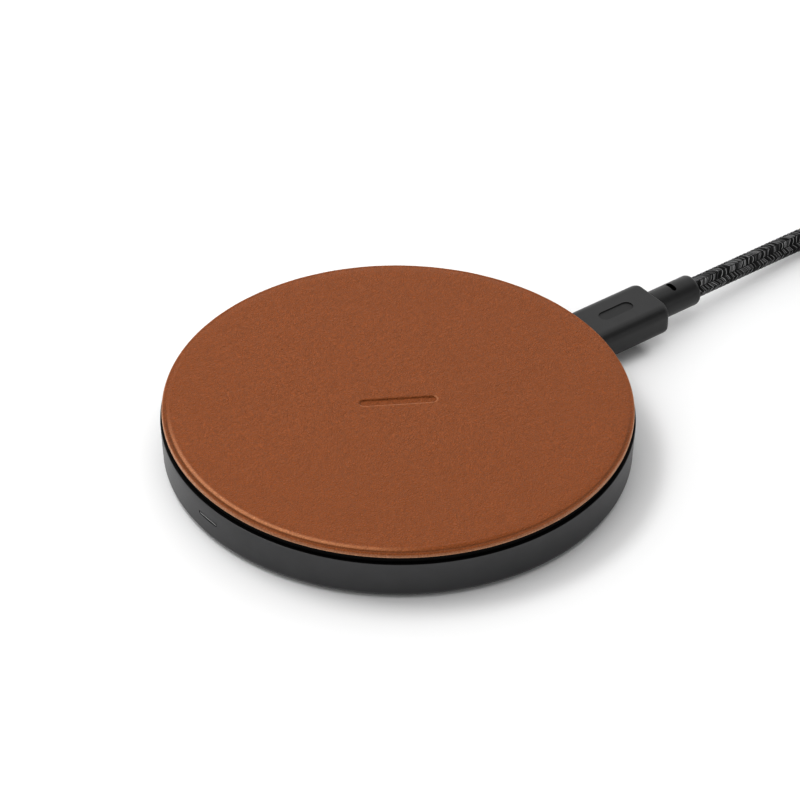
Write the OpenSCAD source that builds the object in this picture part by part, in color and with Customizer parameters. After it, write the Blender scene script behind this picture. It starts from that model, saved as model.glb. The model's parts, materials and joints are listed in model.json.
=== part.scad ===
// Round wireless charging pad: a metal housing under a leather top, fed by a
// braided cable that plugs into the port at the back.
// Origin: centre of the foot's underside. +Z is up, +Y points out of the port.

/* [Pad] */
// Diameter of the metal housing at its upper rim
pad_d = 100; // [99:0.5:104]
// Height of the housing's upper rim above the table
rim_z = 9; // [9:0.1:10]
// Height of the housing's lower rim above the table
foot_drop = 0.7; // [0.5:0.1:0.8]
// Height of the dark cover edge between the housing and the leather
cover_edge_t = 1.35; // [1.2:0.05:1.6]
// Thickness of the glue film under the leather
glue_t = 0.12; // [0.1:0.02:0.2]
// Thickness of the leather
leather_t = 1.23; // [1:0.01:1.5]
// Inset of the leather's cut edge from the housing's rim
leather_inset = 0.43; // [0.3:0.01:0.6]
// Thickness of the housing's side wall
wall_t = 1.7; // [1.6:0.1:1.8]

/* [Details] */
// Length of the pressed bar in the middle of the leather
bar_l = 15.8; // [12:0.1:20]
// Width of the pressed bar
bar_w = 2; // [1.5:0.1:3]
// Direction of the pressed bar, counted from +X
bar_angle = 59.1; // [0:0.1:180]
// Width of the status light's slot in the housing
led_slot_w = 5.9; // [5:0.1:7]
// Height of the status light's slot
led_slot_h = 0.8; // [0.7:0.1:1.2]
// Height of the status light above the table
led_z = 5.25; // [4.9:0.05:5.4]
// Turn of the status light about the pad's axis, counted from -Y
led_turn = 2; // [0:0.5:4]

/* [Coil and board] */
// Number of turns in the power coil
coil_turns = 10; // [6:1:10]
// Diameter of the power coil's stranded wire
litz_d = 1.1; // [1:0.05:1.1]
// Radius of the power coil's innermost turn
coil_r_in = 10.8; // [10:0.1:12]
// Radius of the ferrite shield
ferrite_r = 25; // [24:0.5:25]
// Radius of the round part of the circuit board
pcb_r = 36; // [35:0.5:36]

/* [Cable] */
// Height of the port's axis above the table
port_z = 5.5; // [5.5:0.05:5.75]
// Width of the moulded grip on the small plug
grip_w = 12.9; // [11:0.1:13]
// Height of the moulded grip on the small plug
grip_h = 7.2; // [6.5:0.1:7.4]
// Length of the moulded grip on the small plug
grip_l = 19.8; // [18:0.1:22]
// Diameter of the strain reliefs
relief_d = 7; // [6.4:0.1:7.1]
// Length of the strain reliefs
relief_l = 11.9; // [10:0.1:14]
// Diameter of the braided cord
cord_d = 4.8; // [4.6:0.1:4.8]
// Mean radius of the stored coil of cord
stored_r = 27; // [26:0.5:28]
// Width of the strap round the stored coil
tie_w = 10; // [8:1:12]
// Thickness of the strap round the stored coil
tie_t = 0.6; // [0.6:0.1:1]

/* [Hidden] */
$fn = 96;

// Levels and radii of the pad
rim_r = pad_d / 2;
base_r = rim_r - 0.3;
base_z = 1.2;
base_t = 1;
floor_z = base_z + base_t;
foot_r = rim_r - 3.5;
bore_r = rim_r - wall_t;
cover_r = rim_r - 0.7;
cover_top = rim_z + cover_edge_t;
cover_in = rim_z + 0.1;
leather_z = cover_top + glue_t;
leather_r = rim_r - leather_inset;
top_z = leather_z + leather_t;
fit_gap = 0.1;
led_proud_r = rim_r - 0.03;
skirt_h = 1.1;
skirt_t = 1.2;
film_t = 0.1;
tape_t = 0.1;

// Screws through the housing into the cover
cover_screws = [45, 135, 225, 315];
cover_screw_r = rim_r - 9;
boss_r = 3.2;
boss_top = 3.3;
head_r = 1.9;
head_h = 1.2;
shank_r = 0.98;

// Circuit board and its screws
pcb_t = 1;
port_h = 3.2;
port_w = 8.94;
pcb_top = port_z - port_h / 2;
pcb_z = pcb_top - pcb_t;
pcb_screw_angles = [30, 150, 270];
pcb_screw_r = 31;
standoff_r = 2.5;

// Coil stack, counted down from the cover
coil_z = cover_in - tape_t - litz_d / 2;
coil_pitch = litz_d - 0.05;
coil_r_out = coil_r_in + (coil_turns - 1) * coil_pitch;
ferrite_top = coil_z - litz_d / 2;
ferrite_t = 1;
ferrite_z = ferrite_top - ferrite_t;
lead_r = 0.5;
lead_drop_y = ferrite_r + 2;

// Port and small plug
port_l = 7.35;
port_front = rim_r - 0.75;
port_back = port_front - port_l;
port_in_w = 8.34;
port_in_h = 2.56;
tongue_w = 6.6;
tongue_t = 0.7;
contact_n = 12;
contact_pitch = 0.5;
contact_w = 0.25;
plug_w = 8.25;
plug_h = 2.4;
plug_wall = 0.25;
plug_reach = 6.65;
plug_root = 3;
grip_y = rim_r + 0.25;
plug_tip = grip_y - plug_reach;
grip_end = grip_y + grip_l;
grip_round = 2.3;
grip_plan_r = 1.2;
grip_bar = [3, 9, 0.15];
relief_end = grip_end + relief_l;
relief_round = 1.1;
slot_y = 5.5;
slot_len = 3;
slot_w = 1;
slot_depth = 1;
card = [8.6, 9, 0.8];

// Stored coil: turns side by side in the lower layer, nested ones above
cord_r = cord_d / 2;
low_turns = 4;
store_out = stored_r + low_turns * cord_d / 2;
store_in = stored_r - low_turns * cord_d / 2;
last_low_r = store_out - cord_r;
last_top_r = last_low_r - cord_r;
store_h = 9.2;
store_c = [last_low_r, 146];
tie_angle = 232;
tie_span = 2 * asin(tie_w / 2 / stored_r);

// Route of the cord from the small plug to the stored coil
lead_route = [[0, 82, 5.5], [0, 88, 5.5], [-0.4, 94, 5.1], [-1, 100, 4.5], [-1.6, 106, 3.9],
    [-2.1, 112, 3.4], [-2.4, 118, 3], [-2.3, 124, 2.6], [-1.7, 130, 2.4], [-0.8, 136, 2.4],
    [-0.2, 141, 2.4], [0, 146, 2.4]];
// Route from the stored coil to the large plug: [distance along the run, z]
tail_route = [[0, 6.6], [6, 6.9], [12, 7.2], [18, 6.7], [24, 5.6], [30, 4.7], [36, 4.2], [40, 4]];
tail_angle = 15;
tail_start = store_c + last_top_r * [cos(tail_angle), sin(tail_angle)];
tail_dir = [sin(tail_angle), -cos(tail_angle)];
tail_end = tail_start + 40 * tail_dir;

// Large plug, counted along its own axis from the strain relief's mouth
a_grip = [15.6, 22, 8];
a_shell = [12, 18.75, 4.5];
a_wall = 0.3;
a_root = 4;
a_block = [11.1, 1.9];

// Rectangle with round ends
module slot2d(w, h) {
    square([w - h, h], center = true);
    for (s = [-1, 1])
        translate([s * (w - h) / 2, 0]) circle(d = h);
}

// Rectangle with round corners
module round_rect(w, h, r) {
    square([w, h - 2 * r], center = true);
    square([w - 2 * r, h], center = true);
    for (sx = [-1, 1], sy = [-1, 1])
        translate([sx * (w / 2 - r), sy * (h / 2 - r)]) circle(r);
}

// An upright section drawn in x and z, pushed from y0 along +Y
module along_y(y0, len, z = 0) {
    translate([0, y0 + len, z]) rotate([90, 0, 0]) linear_extrude(len) children();
}

module disc(r, z0, z1) {
    translate([0, 0, z0]) cylinder(r = r, h = z1 - z0);
}

module ring(r_out, r_in, z0, z1) {
    rotate_extrude()
        translate([r_in, z0]) square([r_out - r_in, z1 - z0]);
}

module at_angle(a, r) {
    rotate([0, 0, a]) translate([r, 0, 0]) children();
}

module block(x, y, z0, size) {
    translate([x - size[0] / 2, y - size[1] / 2, z0]) cube(size);
}

// Pan head screw standing on its head, with a cross recess in the head
module pan_screw(head_z, under_z, tip_z) {
    difference() {
        union() {
            disc(head_r, head_z, under_z);
            disc(shank_r, under_z, tip_z);
        }
        for (a = [0, 90])
            rotate([0, 0, a]) block(0, 0, head_z - 1, [2.2, 0.5, 1.6]);
    }
}

// ---- Pad shell ----
module leather_top() {
    color("sienna") difference() {
        rotate_extrude() polygon([[0, leather_z], [leather_r, leather_z],
            [leather_r, top_z - 0.6], [leather_r - 0.15, top_z - 0.33],
            [leather_r - 0.4, top_z - 0.25], [leather_r - 0.75, top_z - 0.27],
            [leather_r - 1.3, top_z], [0, top_z]]);
        translate([0, 0, top_z - 0.35]) rotate([0, 0, bar_angle])
            linear_extrude(1) slot2d(bar_l, bar_w);
    }
}

module leather_glue() {
    color("wheat") disc(leather_r - 0.5, cover_top, leather_z);
}

module top_cover() {
    color("black") {
        difference() {
            union() {
                rotate_extrude() polygon([[0, cover_in], [bore_r - fit_gap, cover_in],
                    [bore_r - fit_gap, rim_z], [cover_r - 0.3, rim_z], [cover_r, rim_z + 0.4],
                    [cover_r, cover_top - 0.4], [cover_r - 0.3, cover_top], [0, cover_top]]);
                ring(bore_r - fit_gap, bore_r - fit_gap - skirt_t, rim_z - skirt_h, cover_in);
                for (a = cover_screws)
                    at_angle(a, cover_screw_r) disc(boss_r - 0.6, boss_top, cover_in);
            }
            for (a = cover_screws)
                at_angle(a, cover_screw_r) disc(shank_r + 0.02, boss_top - 1, rim_z - 1);
        }
    }
}

module housing() {
    color("dimgray") difference() {
        union() {
            difference() {
                rotate_extrude() polygon([[0, foot_drop], [base_r - 0.4, foot_drop],
                    [base_r, foot_drop + 0.4], [rim_r, rim_z - 0.15], [rim_r - 0.15, rim_z],
                    [bore_r, rim_z], [bore_r, floor_z], [0, floor_z]]);
                disc(foot_r + fit_gap, foot_drop - 1, base_z);
            }
            for (a = cover_screws)
                at_angle(a, cover_screw_r) disc(boss_r, base_z, boss_top);
            for (a = pcb_screw_angles)
                at_angle(a, pcb_screw_r) disc(standoff_r, base_z, pcb_z);
        }
        for (a = cover_screws)
            at_angle(a, cover_screw_r) {
                disc(head_r + 0.2, 0, base_z + fit_gap + head_h);
                disc(shank_r + 0.12, 0, boss_top + 1);
            }
        for (a = pcb_screw_angles)
            at_angle(a, pcb_screw_r) disc(shank_r + 0.02, floor_z - 0.5, pcb_z + 1);
        along_y(rim_r - 4, 8, port_z) slot2d(port_w + 0.4, port_h + 0.4);
        rotate([0, 0, led_turn]) along_y(-rim_r - 4, 8, led_z) slot2d(led_slot_w, led_slot_h);
    }
}

module silicone_foot() {
    color("darkslategray") difference() {
        disc(foot_r, 0, base_z);
        ring(foot_r - 3, foot_r - 4.5, -1, 0.3);
    }
}

module housing_screws() {
    color("silver") for (a = cover_screws)
        at_angle(a, cover_screw_r)
            pan_screw(base_z + fit_gap, base_z + fit_gap + head_h, rim_z - 2);
}

// ---- Coil assembly ----
module power_coil() {
    color("peru") rotate_extrude() for (i = [0 : coil_turns - 1])
        translate([coil_r_in + i * coil_pitch, coil_z]) circle(litz_d / 2, $fn = 32);
}

// A wire that runs out along +Y at height z and then down to the board
module coil_lead(y0, z) {
    translate([0, y0, z]) rotate([-90, 0, 0]) cylinder(r = lead_r, h = lead_drop_y - y0, $fn = 24);
    translate([0, lead_drop_y, z]) sphere(lead_r, $fn = 24);
    translate([0, lead_drop_y, pcb_top]) cylinder(r = lead_r, h = z - pcb_top, $fn = 24);
}

module coil_leads() {
    color("peru") {
        coil_lead(coil_r_in - 1, ferrite_z + lead_r);
        rotate([0, 0, 8]) coil_lead(coil_r_out + litz_d / 2 + 0.05, coil_z);
    }
}

module coil_tape() {
    color("ivory") ring(coil_r_out, coil_r_in, cover_in - tape_t, cover_in);
}

module ferrite_shield() {
    color("darkslategray") difference() {
        disc(ferrite_r, ferrite_z, ferrite_top);
        disc(1.2, ferrite_z - 1, ferrite_top + 1);
        translate([-0.7, coil_r_in - 1.5, ferrite_z - 1]) cube([1.4, ferrite_r, 3]);
    }
}

module foam_spacer() {
    color("gray") ring(ferrite_r - 1, 14, pcb_top, ferrite_z);
}

module coil_thermistor() {
    color("seagreen") {
        disc(1.1, ferrite_top, ferrite_top + 1);
        for (s = [-1, 1])
            translate([s * 0.6, 0, 0]) disc(0.25, pcb_top, ferrite_top);
    }
}

// ---- Circuit board ----
module pcb() {
    color("darkgreen") translate([0, 0, pcb_z]) linear_extrude(pcb_t) difference() {
        union() {
            circle(pcb_r);
            translate([-11, 0]) square([22, port_front - 2.25]);
            rotate([0, 0, led_turn]) translate([-7, -rim_r + 3.7]) square([14, rim_r - 5]);
        }
        for (a = pcb_screw_angles)
            rotate([0, 0, a]) translate([pcb_screw_r, 0]) circle(shank_r + 0.12);
    }
}

module pcb_screws() {
    color("silver") for (a = pcb_screw_angles)
        at_angle(a, pcb_screw_r) translate([0, 0, pcb_top + head_h]) mirror([0, 0, 1])
            pan_screw(0, head_h, pcb_top + head_h - floor_z + 0.3);
}

module port_shell() {
    color("silver") difference() {
        along_y(port_back, port_l, port_z) slot2d(port_w, port_h);
        along_y(port_back + 0.3, port_l, port_z) slot2d(port_in_w, port_in_h);
    }
}

// One row of contact strips on each face, sunk flush into the face
module contact_rows(y0, len, half_gap, t) {
    for (i = [0 : contact_n - 1], s = [-1, 1])
        block((i - (contact_n - 1) / 2) * contact_pitch, y0 + len / 2,
            port_z + s * (half_gap + t / 2) - t / 2, [contact_w, len, t]);
}

module port_contacts() {
    color("gold") contact_rows(port_back + 2.2, 3.6, tongue_t / 2 - 0.1, 0.1);
}

module port_tongue() {
    color("black") difference() {
        union() {
            along_y(port_back + 0.3, 1.2, port_z) slot2d(port_in_w, port_in_h);
            block(0, port_back + 3.9, port_z - tongue_t / 2, [tongue_w, 4.8, tongue_t]);
        }
        contact_rows(port_back + 2.2, 3.6, tongue_t / 2 - 0.1, 0.1);
    }
}

module controller_ic() {
    color("black") block(0, -7, pcb_top, [7, 7, 0.9]);
}

module bridge_mosfets() {
    color("black") for (i = [0 : 3])
        block(-30.5, -6 + 4 * i, pcb_top, [3.3, 3.3, 0.8]);
}

module resonance_capacitors() {
    color("tan") for (i = [0 : 3])
        block(30.5, -6 + 4 * i, pcb_top, [3.2, 2.5, 2.5]);
}

module buck_inductor() {
    color("dimgray") block(15, 26, pcb_top, [5, 5, 3]);
}

module input_capacitors() {
    color("tan") for (i = [-1 : 1])
        block(6 * i, 38.5, pcb_top, [2, 1.25, 1.25]);
}

module chip_passives() {
    color("dimgray") for (i = [-3 : 3], y = [4, 7])
        block(2 * i, y, pcb_top, [0.8, 1.6, 0.5]);
}

module status_leds() {
    color("white") rotate([0, 0, led_turn]) for (s = [-1, 1])
        block(2 * s, -rim_r + 5, pcb_top, [1.6, 0.8, 1.1]);
}

module light_guide() {
    color("lightcyan") rotate([0, 0, led_turn]) {
        intersection() {
            along_y(-rim_r, 2.4, led_z) slot2d(led_slot_w - 0.1, led_slot_h - 0.1);
            disc(led_proud_r, 0, rim_z);
        }
        block(0, -rim_r + 3.4, pcb_top + 0.05, [7, 2, 1.8]);
    }
}

module thermal_pad() {
    color("lightsteelblue") block(-27, 0, floor_z, [10, 16, pcb_z - floor_z]);
}

module insulation_film() {
    color("gold") difference() {
        disc(rim_r - 14, floor_z, floor_z + film_t);
        for (a = pcb_screw_angles)
            at_angle(a, pcb_screw_r) disc(standoff_r + 0.3, floor_z - 1, floor_z + 1);
        block(-27, 0, floor_z - 1, [11, 17, 3]);
    }
}

// ---- Small plug ----
module usb_c_shell() {
    color("silver") difference() {
        along_y(plug_tip, plug_reach + plug_root, port_z) slot2d(plug_w, plug_h);
        along_y(plug_tip - 1, plug_reach + plug_root + 2, port_z)
            slot2d(plug_w - 2 * plug_wall, plug_h - 2 * plug_wall);
    }
}

module usb_c_insulator() {
    color("black") difference() {
        along_y(plug_tip + 0.2, plug_reach + plug_root - 0.2, port_z)
            slot2d(plug_w - 2 * plug_wall, plug_h - 2 * plug_wall);
        block(0, plug_tip + 2.5, port_z - 0.45, [6.9, 5, 0.9]);
        contact_rows(plug_tip + 1, 3.8, 0.45, 0.1);
    }
}

module usb_c_contacts() {
    color("gold") contact_rows(plug_tip + 1, 3.8, 0.45, 0.1);
}

module usb_c_paddle_card() {
    color("darkgreen") block(0, grip_y + plug_root + card[1] / 2, port_z - card[2] / 2, card);
}

// Grip with its long edges rolled over and its rear corners rounded in plan
module grip(w, len, h, r) {
    intersection() {
        along_y(0, len) round_rect(w, h, r);
        translate([0, len / 2 - r, -h]) linear_extrude(2 * h) round_rect(w, len + 2 * r, grip_plan_r);
    }
}

module usb_c_grip() {
    color("black") difference() {
        translate([0, grip_y, port_z]) grip(grip_w, grip_l, grip_h, grip_round);
        along_y(grip_y - 1, plug_root + 1, port_z) slot2d(plug_w, plug_h);
        usb_c_paddle_card();
        translate([0, grip_y + grip_l / 2 - 0.5, port_z + grip_h / 2 - grip_bar[2]])
            linear_extrude(1) rotate(90) slot2d(grip_bar[1], grip_bar[0]);
    }
}

// Cylinder with a rounded mouth where the cord leaves, and a cross slot above and below
module relief(len) {
    difference() {
        rotate([-90, 0, 0]) rotate_extrude() {
            square([relief_d / 2, len - relief_round]);
            square([relief_d / 2 - relief_round, len]);
            translate([relief_d / 2 - relief_round, len - relief_round]) circle(relief_round);
        }
        for (s = [-1, 1])
            translate([0, slot_y, s * relief_d / 2 - slot_depth])
                linear_extrude(2 * slot_depth) slot2d(slot_len, slot_w);
    }
}

module strain_relief() {
    color("black") translate([0, grip_end, port_z]) relief(relief_l);
}

// ---- Cord ----
function tail_points() = [for (p = tail_route)
    [tail_start[0] + p[0] * tail_dir[0], tail_start[1] + p[0] * tail_dir[1], p[1]]];
function run_dir(pts, i) = let (a = pts[max(i - 1, 0)], b = pts[min(i + 1, len(pts) - 1)])
    (b - a) / norm(b - a);
function cord_ring(pts, i, sides) = let (d = run_dir(pts, i), side = cross(d, [0, 0, 1]),
    s = side / norm(side), u = cross(s, d))
    [for (k = [0 : sides - 1]) pts[i] + cord_r * (cos(360 * k / sides) * s + sin(360 * k / sides) * u)];

module cord_tube(pts) {
    sides = 12;
    n = len(pts);
    rings = [for (i = [0 : n - 1]) each cord_ring(pts, i, sides)];
    walls = [for (i = [0 : n - 2], k = [0 : sides - 1])
        let (a = i * sides, b = a + sides, m = (k + 1) % sides) [a + k, b + k, b + m, a + m]];
    start = [for (k = [0 : sides - 1]) k];
    end = [for (k = [sides - 1 : -1 : 0]) (n - 1) * sides + k];
    polyhedron(rings, concat([start, end], walls), convexity = 4);
}

module cord_lead() {
    color("dimgray") cord_tube(lead_route);
}

module cord_tail() {
    color("dimgray") cord_tube(tail_points());
}

module store_section(inset) {
    polygon([[store_in + inset, inset], [store_out - inset, inset],
        [store_out - inset, cord_d], [store_out - cord_r - inset, store_h - inset],
        [store_in + cord_r + inset, store_h - inset], [store_in + inset, cord_d]]);
}

// The strap's stretch of the winding: whatever is drawn, less the cord inside the strap
module tie_stretch() {
    rotate([0, 0, tie_angle - tie_span / 2]) rotate_extrude(angle = tie_span) difference() {
        children();
        store_section(tie_t);
    }
}

module cord_coil() {
    color("dimgray") translate([store_c[0], store_c[1], 0]) difference() {
        rotate_extrude() store_section(0);
        tie_stretch() translate([store_in - 1, -1]) square([store_out - store_in + 2, store_h + 2]);
    }
}

module cable_tie() {
    color("black") translate([store_c[0], store_c[1], 0]) tie_stretch() store_section(0);
}

// ---- Large plug ----
module at_large_plug() {
    translate([tail_end[0], tail_end[1], a_grip[2] / 2]) rotate([0, 0, tail_angle + 180]) children();
}

module usb_a_relief() {
    color("black") at_large_plug() translate([0, relief_l, 0]) mirror([0, 1, 0]) relief(relief_l);
}

module usb_a_grip() {
    color("black") at_large_plug() difference() {
        translate([0, relief_l + a_grip[1], 0]) mirror([0, 1, 0])
            grip(a_grip[0], a_grip[1], a_grip[2], 2.5);
        along_y(relief_l + a_grip[1] - a_root, a_root + 1)
            square([a_shell[0], a_shell[2]], center = true);
    }
}

module usb_a_shell() {
    color("silver") at_large_plug() difference() {
        along_y(relief_l + a_grip[1] - a_root, a_shell[1] + a_root)
            round_rect(a_shell[0], a_shell[2], 0.5);
        along_y(relief_l + a_grip[1] - a_root - 1, a_shell[1] + a_root + 2)
            round_rect(a_shell[0] - 2 * a_wall, a_shell[2] - 2 * a_wall, 0.2);
        for (sx = [-1, 1], sz = [-1, 1])
            block(sx * 2.85, relief_l + a_grip[1] + a_shell[1] - 6.4, sz * 2 - 1, [2.3, 2.3, 2]);
    }
}

module a_contact_cuts(t) {
    for (i = [-1.5 : 1 : 1.5])
        block(i * (abs(i) > 1 ? 2.33 : 2), relief_l + a_grip[1] + a_shell[1] / 2 + 3,
            -a_shell[2] / 2 + a_wall + a_block[1] - t, [1, 10, t]);
}

module usb_a_insulator() {
    color("white") at_large_plug() difference() {
        union() {
            block(0, relief_l + a_grip[1] + a_shell[1] / 2 - 0.3,
                -a_shell[2] / 2 + a_wall, [a_block[0], a_shell[1] - 0.6, a_block[1]]);
            block(0, relief_l + a_grip[1] - a_root / 2,
                -a_shell[2] / 2 + a_wall, [a_block[0], a_root, a_shell[2] - 2 * a_wall]);
        }
        a_contact_cuts(0.15);
    }
}

module usb_a_contacts() {
    color("gold") at_large_plug() a_contact_cuts(0.15);
}

leather_top();
leather_glue();
top_cover();
housing();
silicone_foot();
housing_screws();
power_coil();
coil_leads();
coil_tape();
ferrite_shield();
foam_spacer();
coil_thermistor();
pcb();
pcb_screws();
port_shell();
port_tongue();
port_contacts();
controller_ic();
bridge_mosfets();
resonance_capacitors();
buck_inductor();
input_capacitors();
chip_passives();
status_leds();
light_guide();
thermal_pad();
insulation_film();
usb_c_shell();
usb_c_insulator();
usb_c_contacts();
usb_c_paddle_card();
usb_c_grip();
strain_relief();
cord_lead();
cord_coil();
cord_tail();
cable_tie();
usb_a_relief();
usb_a_grip();
usb_a_shell();
usb_a_insulator();
usb_a_contacts();
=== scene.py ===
"""Looks of a round wireless charging pad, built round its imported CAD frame.

Lengths below are in millimetres in the frame of the CAD part (+Z up, +Y out of the port),
and are turned into metres where a mesh, a light or the camera is made.
"""
import json
import math

import bmesh
import bpy
import numpy as np
from mathutils import Matrix, Vector


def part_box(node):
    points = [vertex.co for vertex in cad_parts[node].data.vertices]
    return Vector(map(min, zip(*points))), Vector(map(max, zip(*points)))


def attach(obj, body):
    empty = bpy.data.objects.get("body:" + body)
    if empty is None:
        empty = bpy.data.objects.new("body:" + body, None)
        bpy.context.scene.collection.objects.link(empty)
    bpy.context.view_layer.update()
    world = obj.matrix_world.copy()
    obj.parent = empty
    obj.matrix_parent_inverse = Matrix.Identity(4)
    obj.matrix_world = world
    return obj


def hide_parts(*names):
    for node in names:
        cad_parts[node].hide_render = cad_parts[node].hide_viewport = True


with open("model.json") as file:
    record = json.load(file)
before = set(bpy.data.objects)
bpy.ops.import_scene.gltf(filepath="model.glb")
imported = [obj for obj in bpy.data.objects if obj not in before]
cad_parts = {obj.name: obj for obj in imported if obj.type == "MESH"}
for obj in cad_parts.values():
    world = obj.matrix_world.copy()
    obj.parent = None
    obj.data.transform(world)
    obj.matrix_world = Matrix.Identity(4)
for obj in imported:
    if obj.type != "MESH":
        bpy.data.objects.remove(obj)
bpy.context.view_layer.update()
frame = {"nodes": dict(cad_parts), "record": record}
MM = 0.001


def node_box(node):
    """Lowest and highest corners of a CAD node, in millimetres."""
    low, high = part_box(node)
    return np.array(low) / MM, np.array(high) / MM


# ---- camera
CAMERA_AIM = (-11.97, 9.56, 0.0)
CAMERA_AZIMUTH, CAMERA_ELEVATION, CAMERA_ROLL = 52.8, 37.684, 0.439
CAMERA_DISTANCE, CAMERA_LENS = 717.9, 149.75


def toward(azimuth, elevation):
    """A direction from the pad. Azimuth is counted from the camera's own, to the right."""
    az, el = math.radians(CAMERA_AZIMUTH + azimuth), math.radians(elevation)
    return Vector((math.sin(az) * math.cos(el), -math.cos(az) * math.cos(el), math.sin(el)))


def looking_back(way):
    """The turn of a camera or light that stands in that direction and looks back."""
    return way.to_track_quat("Z", "Y").to_matrix().to_4x4()


def linked(name, data):
    obj = bpy.data.objects.new(name, data)
    bpy.context.scene.collection.objects.link(obj)
    return obj


def make_camera():
    way = toward(0, CAMERA_ELEVATION)
    place = Matrix.Translation((Vector(CAMERA_AIM) + way * CAMERA_DISTANCE) * MM)
    data = bpy.data.cameras.new("camera")
    data.lens = CAMERA_LENS
    data.clip_start = 0.01
    camera = linked("camera", data)
    roll = Matrix.Rotation(math.radians(CAMERA_ROLL), 4, "Z")
    camera.matrix_world = place @ looking_back(way) @ roll
    bpy.context.scene.camera = camera


make_camera()


# ---- materials
class Shader:
    """A Principled material with short calls for the nodes that feed it."""

    def __init__(self, name, **sockets):
        self.mat = bpy.data.materials.new(name)
        self.mat.use_nodes = True
        self.tree = self.mat.node_tree
        self.bsdf = self.tree.nodes["Principled BSDF"]
        for key, value in sockets.items():
            self.to(value, key.replace("_", " "))
        self.coords = self.add("ShaderNodeTexCoord").outputs["Object"]

    def add(self, kind, inputs=None, **props):
        node = self.tree.nodes.new(kind)
        for key, value in props.items():
            setattr(node, key, value)
        for key, value in (inputs or {}).items():
            self.feed(value, node.inputs[key])
        return node

    def feed(self, value, socket):
        """Links a socket, or sets it to a number, a vector or a colour of three values."""
        if isinstance(value, bpy.types.NodeSocket):
            self.tree.links.new(value, socket)
        else:
            socket.default_value = (*value, 1) if socket.type == "RGBA" else value

    def to(self, value, socket):
        self.feed(value, self.bsdf.inputs[socket])

    def math(self, operation, a, b=0.0, c=0.0):
        node = self.add("ShaderNodeMath", operation=operation)
        for socket, value in zip(node.inputs, (a, b, c)):
            self.feed(value, socket)
        return node.outputs[0]

    def noise(self, scale, detail=3.0, roughness=0.5, vector=None):
        feeds = {"Vector": vector or self.coords, "Scale": scale, "Detail": detail, "Roughness": roughness}
        return self.add("ShaderNodeTexNoise", feeds).outputs["Fac"]

    def span(self, value, low, high, to_low=0.0, to_high=1.0, smooth=False):
        kind = "SMOOTHSTEP" if smooth else "LINEAR"
        feeds = {"Value": value, "From Min": low, "From Max": high, "To Min": to_low, "To Max": to_high}
        return self.add("ShaderNodeMapRange", feeds, interpolation_type=kind).outputs["Result"]

    def mix(self, fac, a, b):
        node = self.add("ShaderNodeMix", data_type="RGBA")
        self.feed(fac, node.inputs[0])
        self.feed(a, node.inputs[6])
        self.feed(b, node.inputs[7])
        return node.outputs[2]

    def attribute(self, name):
        return self.add("ShaderNodeAttribute", attribute_name=name).outputs["Fac"]

    def bump(self, height, distance, strength=1.0, normal=None):
        feeds = {"Height": height, "Distance": distance, "Strength": strength}
        if normal is not None:
            feeds["Normal"] = normal
        return self.add("ShaderNodeBump", feeds).outputs["Normal"]


def grained(name, light, dark, grain, rough=(0.4, 0.6), depth=0.02, **sockets):
    """A surface whose colour, roughness and height follow one grain, its size and depth in mm."""
    s = Shader(name, **sockets)
    fine = s.noise(1 / (grain * MM))
    broad = s.noise(1 / (grain * 12 * MM), detail=2)
    both = s.math("MULTIPLY_ADD", broad, 0.4, s.math("MULTIPLY", fine, 0.6))
    s.to(s.mix(s.span(both, 0.35, 0.65), dark, light), "Base Color")
    s.to(s.span(fine, 0.3, 0.7, *rough), "Roughness")
    s.to(s.bump(fine, depth * MM, 0.6), "Normal")
    return s.mat


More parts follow.
